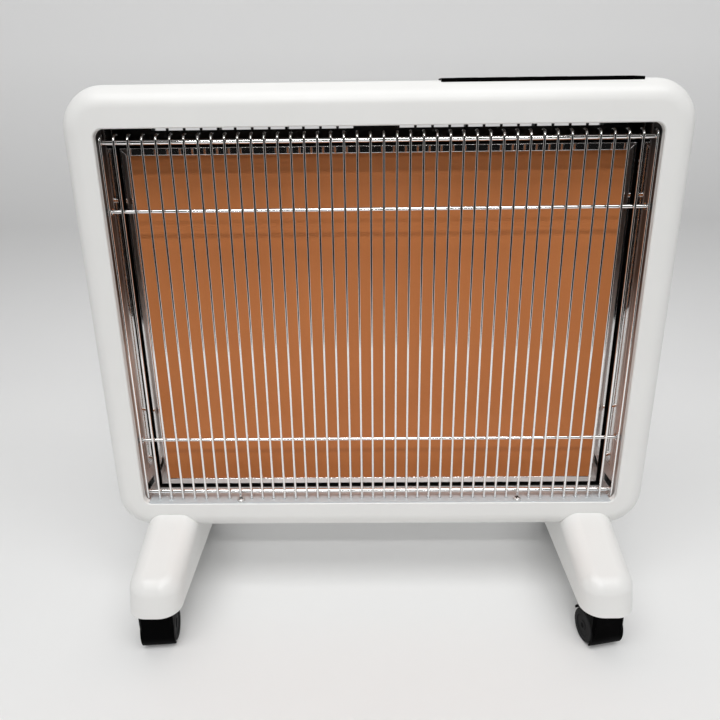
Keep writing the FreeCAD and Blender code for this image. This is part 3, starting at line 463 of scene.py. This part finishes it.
# A material for each slot of the record, and own looks for some nodes
materials = {
    "white_plastic": moulded_plastic("white_plastic", WHITE, roughness=0.38, grain=0.25, gloss_coat=0.15),
    "grey_plastic": moulded_plastic("grey_plastic", (0.55, 0.55, 0.54), roughness=0.55, grain=0.4),
    "chrome_wire": bright_metal("chrome_wire", (0.94, 0.938, 0.932), BRIGHT_ROUGHNESS, UPRIGHT, grain=0.004),
    "polished_steel": bright_metal("polished_steel", (0.72, 0.72, 0.73), 0.07, LEVEL, grain=0.05),
    "screw_steel": bright_metal("screw_steel", (0.72, 0.71, 0.69), 0.25, EVEN, grain=0.2),
    "bright_trim": bright_metal("bright_trim", (0.86, 0.85, 0.84), BRIGHT_ROUGHNESS, LEVEL, grain=0.01),
    "panel_coating": coated_panel("panel_coating"),
    "heater_sheet": fibre_board("heater_sheet", (0.08, 0.07, 0.06)),
    "insulation": fibre_board("insulation", (0.72, 0.69, 0.62)),
    "back_sheet": bright_metal("back_sheet", (0.62, 0.62, 0.62), 0.35, LEVEL, grain=0.2),
    "black_plastic": moulded_plastic("black_plastic", BLACK, roughness=0.45, grain=0.4, shine=0.015),
    "dark_window": dark_window("dark_window", (0.0015, 0.0015, 0.002)),
    "circuit_board": circuit_board("circuit_board", (0.03, 0.16, 0.07)),
    "switch_plastic": moulded_plastic("switch_plastic", (0.06, 0.06, 0.065), roughness=0.5, grain=0.4),
    "wheel_rubber": tyre_rubber("wheel_rubber", (0.014, 0.014, 0.0145)),
}
satin_head = satin_metal("satin_head", (0.74, 0.74, 0.73), roughness=0.28, metallic=0.6)
own_materials = {
    "sill_strip": satin_metal("satin_steel", (0.645, 0.69, 0.715), roughness=0.45, metallic=0.25),
    "reflector_tray": tray_steel("tray_steel"),
}
own_materials.update({corner + "_axle": materials["black_plastic"] for corner in CORNERS})


# Helpers for pieces


def new_piece(name, mesh_data, body, slot, stands_for=(), looks=()):
    """An object of a bmesh, on a body, with the material of a slot of the record or its own looks; it hides the
    CAD nodes it stands for.
    """
    mesh = bpy.data.meshes.new(name)
    bmesh.ops.recalc_face_normals(mesh_data, faces=mesh_data.faces)
    mesh_data.to_mesh(mesh)
    mesh_data.free()
    for material in looks or (materials[slot],):
        mesh.materials.append(material)
    piece = bpy.data.objects.new(name, mesh)
    bpy.context.scene.collection.objects.link(piece)
    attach(piece, body)
    if stands_for:
        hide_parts(*stands_for)


def smooth_faces(mesh_data):
    """Smooth shading, with sharp edges kept crisp."""
    bmesh.ops.recalc_face_normals(mesh_data, faces=mesh_data.faces)
    mesh_data.normal_update()
    for face in mesh_data.faces:
        face.smooth = True
    for edge in mesh_data.edges:
        if len(edge.link_faces) == 2 and edge.calc_face_angle() > SHARP_ANGLE:
            edge.smooth = False


def add_ring(mesh_data, middle, across, third, radius, steps):
    """A ring of vertices in the plane of two directions."""
    ring = []
    for step in range(steps):
        turn = 2 * math.pi * step / steps
        ring.append(mesh_data.verts.new(middle + (across * math.cos(turn) + third * math.sin(turn)) * radius))
    return ring


def join_rings(mesh_data, first, second):
    steps = len(first)
    for step in range(steps):
        after = (step + 1) % steps
        mesh_data.faces.new((first[step], first[after], second[after], second[step]))


def add_tube(mesh_data, path, radius, steps):
    """A closed round tube that follows a path of points."""
    rings = []
    side = Vector((1, 0, 0))
    if abs((path[1] - path[0]).normalized().x) > NEAR_LEVEL:
        side = Vector((0, 1, 0))
    for index, point in enumerate(path):
        before = path[max(index - 1, 0)]
        after = path[min(index + 1, len(path) - 1)]
        along = (after - before).normalized()
        across = (side - along * side.dot(along)).normalized()
        rings.append(add_ring(mesh_data, point, across, along.cross(across), radius, steps))
    for first, second in zip(rings, rings[1:]):
        join_rings(mesh_data, first, second)
    mesh_data.faces.new(rings[0])
    mesh_data.faces.new(rings[-1])


def add_lathe(mesh_data, profile, place, along, steps):
    """A closed form turned round an axis: the profile gives (distance along the axis, radius)."""
    along = along.normalized()
    across = along.orthogonal().normalized()
    third = along.cross(across)
    rings = []
    for reach, radius in profile:
        rings.append(add_ring(mesh_data, place + along * reach, across, third, radius, steps))
    for first, second in zip(rings, rings[1:] + rings[:1]):
        join_rings(mesh_data, first, second)


def islands(node):
    """The separate solids of a CAD node, each as its low and high corner."""
    mesh = nodes[node].data
    parent = list(range(len(mesh.vertices)))

    def root(index):
        while parent[index] != index:
            parent[index] = parent[parent[index]]
            index = parent[index]
        return index

    same = {}
    for vertex in mesh.vertices:
        key = tuple(round(value / WELD_DISTANCE) for value in vertex.co)
        other = same.setdefault(key, vertex.index)
        parent[root(vertex.index)] = root(other)
    for polygon in mesh.polygons:
        first = root(polygon.vertices[0])
        for index in polygon.vertices[1:]:
            parent[root(index)] = first
    groups = {}
    for vertex in mesh.vertices:
        groups.setdefault(root(vertex.index), []).append(vertex.co)
    boxes = []
    for points in groups.values():
        low = Vector(min(point[axis] for point in points) for axis in range(3))
        high = Vector(max(point[axis] for point in points) for axis in range(3))
        boxes.append((low, high))
    return sorted(boxes, key=lambda pair: tuple(pair[0]))


# Smooth shading and materials for the CAD nodes


def dress_nodes():
    slot_of = {part["node"]: part["material_slot"] for part in frame["record"]["subparts"]}
    for name, node in nodes.items():
        node.data.materials.clear()
        node.data.materials.append(own_materials.get(name, materials[slot_of[name]]))
        for polygon in node.data.polygons:
            polygon.use_smooth = True
        weld = node.modifiers.new("weld", "WELD")
        weld.merge_threshold = WELD_DISTANCE
        if name in ROUNDED:
            bevel = node.modifiers.new("bevel", "BEVEL")
            bevel.width = ROUNDED[name]
            bevel.segments = BEVEL_STEPS
            bevel.limit_method = "ANGLE"
            bevel.angle_limit = SHARP_ANGLE
        else:
            split = node.modifiers.new("split", "EDGE_SPLIT")
            split.split_angle = SHARP_ANGLE
        normals = node.modifiers.new("normals", "WEIGHTED_NORMAL")
        normals.mode = "FACE_AREA"


# Wire grille with round wires and smooth hooks


def wire_path(low, high):
    """From a wire's foot up and back over its hook, from the corners of the CAD wire's box."""
    middle_x = ((low + high) / 2).x
    wire_y = low.y + WIRE_RADIUS
    hook_z = high.z - WIRE_RADIUS
    path = [Vector((middle_x, wire_y, low.z)), Vector((middle_x, wire_y, hook_z - HOOK_RADIUS))]
    for step in range(1, HOOK_STEPS + 1):
        turn = math.pi / 2 * step / HOOK_STEPS
        path.append(Vector((middle_x, wire_y + HOOK_RADIUS * (1 - math.cos(turn)),
                            hook_z - HOOK_RADIUS * (1 - math.sin(turn)))))
    path.append(Vector((middle_x, high.y, hook_z)))
    return path


def build_grille():
    mesh_data = bmesh.new()
    bars = islands("grille")
    rail_height = max(low.z for low, high in bars if high.x - low.x > high.z - low.z)
    for low, high in bars:
        if high.x - low.x < high.z - low.z:
            add_tube(mesh_data, wire_path(low, high), WIRE_SEEN_RADIUS, WIRE_STEPS)
        else:
            middle = (low + high) / 2
            if low.z == rail_height:
                middle.z += RAIL_LIFT
            ends = [Vector((x, middle.y, middle.z)) for x in (low.x, high.x)]
            add_tube(mesh_data, ends, (high.z - low.z) / 2, WIRE_STEPS)
    smooth_faces(mesh_data)
    new_piece("wire_grille", mesh_data, "heater", "chrome_wire", ["grille"])


# Wheels with rounded treads and a stepped hub


def wheel_profile(inner, outer, bore, radius):
    """A wheel's half section, from the bore inside over the tread to the bore outside."""
    way = 1 if outer > inner else -1
    points = [(inner, bore), (inner, radius - WHEEL_ROUND)]
    for index in range(1, ROUND_STEPS + 1):
        turn = math.pi / 2 * index / ROUND_STEPS
        points.append((inner + way * WHEEL_ROUND * (1 - math.cos(turn)),
                       radius - WHEEL_ROUND * (1 - math.sin(turn))))
    for index in range(ROUND_STEPS + 1):
        turn = math.pi / 2 * index / ROUND_STEPS
        points.append((outer - way * WHEEL_ROUND * (1 - math.sin(turn)),
                       radius - WHEEL_ROUND * (1 - math.cos(turn))))
    hub_floor = outer - way * HUB_DEPTH
    points += [(outer, HUB_RADIUS + HUB_EDGE), (hub_floor, HUB_RADIUS), (hub_floor, CAP_RADIUS),
               (outer, CAP_RADIUS - HUB_EDGE), (outer, bore)]
    return points


def build_wheels():
    for corner in CORNERS:
        for side in ("left", "right"):
            node = corner + "_wheel_" + side
            joint = joints[node + "_roll"]
            along = Vector(joint["axis"]).normalized()
            place = Vector(joint["pos_m"])
            offsets = [vertex.co - place for vertex in nodes[node].data.vertices]
            reaches = [offset.dot(along) for offset in offsets]
            spans = [(offset - along * offset.dot(along)).length for offset in offsets]
            low, high = min(reaches), max(reaches)
            inner, outer = (low, high) if high + low > 0 else (high, low)
            profile = wheel_profile(inner, outer, min(spans) + BORE_GAP, max(spans))
            mesh_data = bmesh.new()
            add_lathe(mesh_data, profile, place, along, WHEEL_STEPS)
            smooth_faces(mesh_data)
            new_piece(node + "_tyre", mesh_data, node, "wheel_rubber", [node])


# Screws with a domed head and a sunk cross, and domed rivets


def dome_profile(radius, height, rise, rings):
    """From the rim of a head up to near its middle: rise is the share of the height below the dome."""
    points = []
    for index in range(rings + 1):
        turn = math.pi / 2 * index / rings
        points.append((height * (rise + (1 - rise) * math.sin(turn)),
                       radius * (math.cos(turn) + CORE_RADIUS)))
    return points


def sink_cross(mesh_data, middle, head_low):
    """Lowers the part of a head's dome that lies in a cross, and gives it the piece's second material, which
    paints the sunk cross black as painted shade.
    """
    turned = Matrix.Rotation(CROSS_TURN, 3, "Z")
    for vertex in mesh_data.verts:
        offset = turned @ (vertex.co - middle)
        narrow, wide = sorted((abs(offset.x), abs(offset.y)))
        if vertex.co.z > head_low and narrow < RECESS_WIDTH and wide < RECESS_SPAN:
            vertex.co.z -= RECESS_DEPTH
            for face in vertex.link_faces:
                face.material_index = 1


def build_sill_screws():
    for index, (low, high) in enumerate(islands("sill_screws")):
        middle = (low + high) / 2
        radius = (high.x - low.x) / 2 * HEAD_WIDER
        height = radius * HEAD_HEIGHT
        base = Vector((middle.x, middle.y, high.z - radius * HEAD_SEAT))
        foot = -radius * SHANK_LENGTH
        profile = [(foot, radius * CORE_RADIUS), (foot, radius * SHANK_RADIUS), (0, radius * SHANK_RADIUS),
                   (0, radius)]
        profile += dome_profile(radius, height, HEAD_RIM, SCREW_RINGS)
        mesh_data = bmesh.new()
        add_lathe(mesh_data, profile, base, Vector((0, 0, 1)), SCREW_STEPS)
        sink_cross(mesh_data, middle, base.z + height * CROSS_FROM)
        smooth_faces(mesh_data)
        # The second look, black plastic, is painted shade in the sunk cross
        new_piece("sill_screw_%d" % index, mesh_data, "heater", "screw_steel", ["sill_screws"],
                  looks=(satin_head, materials["black_plastic"]))


def build_rivets():
    mesh_data = bmesh.new()
    for low, high in islands("tray_rivets"):
        middle = (low + high) / 2
        radius = (high.z - low.z) / 2
        height = high.x - low.x
        side = 1 if middle.x > 0 else -1
        base = Vector((high.x if side > 0 else low.x, middle.y, middle.z))
        profile = [(0, radius * CORE_RADIUS)] + dome_profile(radius, height, 0.0, RIVET_RINGS)
        add_lathe(mesh_data, profile, base, Vector((-side, 0, 0)), RIVET_STEPS)
    smooth_faces(mesh_data)
    new_piece("tray_rivet_heads", mesh_data, "heater", "polished_steel", ["tray_rivets"], looks=(satin_head,))


# Generic signs moulded on the buttons


def add_stroke(mesh_data, points, top, closed):
    """A flat bar of even width along points in the level plane, from just under top to just over it."""
    count = len(points)
    rows = []
    for index, point in enumerate(points):
        before = points[(index - 1) % count] if closed or index else point
        after = points[(index + 1) % count] if closed or index < count - 1 else point
        along = (after - before).normalized()
        across = Vector((-along.y, along.x)) * SIGN_WIDTH / 2
        row = []
        for side, level in ((1, -SIGN_SUNK), (1, SIGN_PROUD), (-1, SIGN_PROUD), (-1, -SIGN_SUNK)):
            flat = point + across * side
            row.append(mesh_data.verts.new((flat.x, flat.y, top + level)))
        rows.append(row)
    for first, second in zip(rows, rows[1:]):
        join_rings(mesh_data, first, second)
    if closed:
        join_rings(mesh_data, rows[-1], rows[0])
    else:
        mesh_data.faces.new(rows[0])
        mesh_data.faces.new(rows[-1])


def arc(radius, start, end):
    """Points on a circle round the origin, between two angles in degrees."""
    turns = [math.radians(start + (end - start) * step / SIGN_STEPS) for step in range(SIGN_STEPS + 1)]
    return [Vector((math.cos(turn), math.sin(turn))) * radius for turn in turns]


def straight(*points):
    """An open stroke between points."""
    return [Vector(point) for point in points], False


def build_signs():
    half = SIGN_WIDTH / 2
    level_bar = straight((-SIGN_REACH, 0), (SIGN_REACH, 0))
    signs = {
        "power_button": [(arc(SIGN_REACH, *POWER_ARC), False),
                         straight((0, POWER_BAR[0]), (0, POWER_BAR[1]))],
        "heat_down_button": [level_bar],
        "heat_up_button": [level_bar, straight((0, half), (0, SIGN_REACH)),
                           straight((0, -SIGN_REACH), (0, -half))],
        "timer_button": [(arc(SIGN_REACH, 0, 360)[:-1], True), straight((0, -half), (0, LONG_HAND)),
                         straight((half, 0), (SHORT_HAND, 0))],
    }
    for name, strokes in signs.items():
        low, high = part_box(name)
        middle = Vector(((low[0] + high[0]) / 2, (low[1] + high[1]) / 2))
        mesh_data = bmesh.new()
        for points, closed in strokes:
            add_stroke(mesh_data, [middle + point for point in points], high[2], closed)
        new_piece(name + "_sign", mesh_data, name, "grey_plastic")


# Stage, camera and light


def stage_paper(name):
    """Pale paper that is seen only from its upper and inner side, so a camera behind it sees the heater."""
    shader = Shader(name, PAPER_ROUGHNESS)
    # Painted shade: the paper is drawn darker up its turn and lighter again higher on the wall
    shader.colour(shader.axes()["Z"], *PAPER_PAINTED_SHADE_STOPS)
    one_sided = shader.add("ShaderNodeMixShader")
    shader.link(shader.add("ShaderNodeNewGeometry").outputs["Backfacing"], one_sided.inputs["Fac"])
    shader.link(shader.bsdf.outputs["BSDF"], one_sided.inputs[1])
    shader.link(shader.add("ShaderNodeBsdfTransparent").outputs["BSDF"], one_sided.inputs[2])
    shader.link(one_sided.outputs["Shader"], shader.tree.nodes["Material Output"].inputs["Surface"])
    return shader.material


def build_stage():
    mesh_data = bmesh.new()
    bend = WALL_PLACE - WALL_ROUND
    profile = [(FLOOR_FRONT, 0.0), (bend, 0.0)]
    for step in range(1, WALL_STEPS + 1):
        turn = math.pi / 2 * step / WALL_STEPS
        profile.append((bend + WALL_ROUND * math.sin(turn), WALL_ROUND * (1 - math.cos(turn))))
    profile.append((WALL_PLACE, WALL_HEIGHT))
    rows = [[mesh_data.verts.new((x, y, z)) for x in (-FLOOR_HALF, FLOOR_HALF)] for y, z in profile]
    for first, second in zip(rows, rows[1:]):
        face = mesh_data.faces.new((first[0], first[1], second[1], second[0]))
        face.smooth = True
    mesh = bpy.data.meshes.new("floor")
    mesh_data.to_mesh(mesh)
    mesh_data.free()
    mesh.materials.append(stage_paper("floor_paper"))
    floor = bpy.data.objects.new("floor", mesh)
    bpy.context.scene.collection.objects.link(floor)


def build_camera():
    forward = Vector((math.sin(CAMERA_YAW) * math.cos(CAMERA_PITCH),
                      math.cos(CAMERA_YAW) * math.cos(CAMERA_PITCH), -math.sin(CAMERA_PITCH)))
    right = Vector((math.cos(CAMERA_YAW), -math.sin(CAMERA_YAW), 0))
    up = right.cross(forward)
    rolled_right = right * math.cos(CAMERA_ROLL) + up * math.sin(CAMERA_ROLL)
    rolled_up = up * math.cos(CAMERA_ROLL) - right * math.sin(CAMERA_ROLL)
    data = bpy.data.cameras.new("camera")
    data.sensor_width = SENSOR_WIDTH
    data.lens = FOCAL_PIXELS / IMAGE_SIDE * SENSOR_WIDTH
    data.clip_start = CLIP_START
    camera = bpy.data.objects.new("camera", data)
    turn = Matrix((rolled_right, rolled_up, -forward)).transposed()
    camera.matrix_world = Matrix.Translation(CAMERA_PLACE) @ turn.to_4x4()
    bpy.context.scene.collection.objects.link(camera)
    bpy.context.scene.camera = camera


def build_lamps():
    for name, (place, target, size, power) in LAMPS.items():
        data = bpy.data.lights.new(name, "AREA")
        data.shape = "RECTANGLE"
        data.size, data.size_y = size
        data.energy = power
        lamp = bpy.data.objects.new(name, data)
        lamp.location = place
        lamp.rotation_mode = "QUATERNION"
        lamp.rotation_quaternion = (Vector(target) - Vector(place)).to_track_quat("-Z", "Y")
        bpy.context.scene.collection.objects.link(lamp)


def build_room():
    world = bpy.data.worlds.new("room")
    world.use_nodes = True
    tree = world.node_tree
    place = tree.nodes.new("ShaderNodeTexCoord")
    split = tree.nodes.new("ShaderNodeSeparateXYZ")
    aside = tree.nodes.new("ShaderNodeMath")
    aside.operation = "ABSOLUTE"
    lighter = tree.nodes.new("ShaderNodeMath")
    lighter.operation = "MAXIMUM"
    tree.links.new(place.outputs["Generated"], split.inputs["Vector"])
    tree.links.new(split.outputs["X"], aside.inputs[0])
    sky = (split.outputs["Z"], SKY_RANGE, SKY_LEVEL)
    sides = (aside.outputs["Value"], SIDE_RANGE, SIDE_LEVEL)
    for index, (source, reach, level) in enumerate((sky, sides)):
        spread = tree.nodes.new("ShaderNodeMapRange")
        spread.inputs["From Min"].default_value, spread.inputs["From Max"].default_value = reach
        spread.inputs["To Min"].default_value, spread.inputs["To Max"].default_value = level
        tree.links.new(source, spread.inputs["Value"])
        tree.links.new(spread.outputs["Result"], lighter.inputs[index])
    background = tree.nodes["Background"]
    background.inputs["Strength"].default_value = 1.0
    tree.links.new(lighter.outputs["Value"], background.inputs["Color"])
    bpy.context.scene.world = world
    bpy.context.scene.view_settings.view_transform = "Standard"


dress_nodes()
build_grille()
build_wheels()
build_sill_screws()
build_rivets()
build_signs()
build_stage()
build_camera()
build_lamps()
build_room()
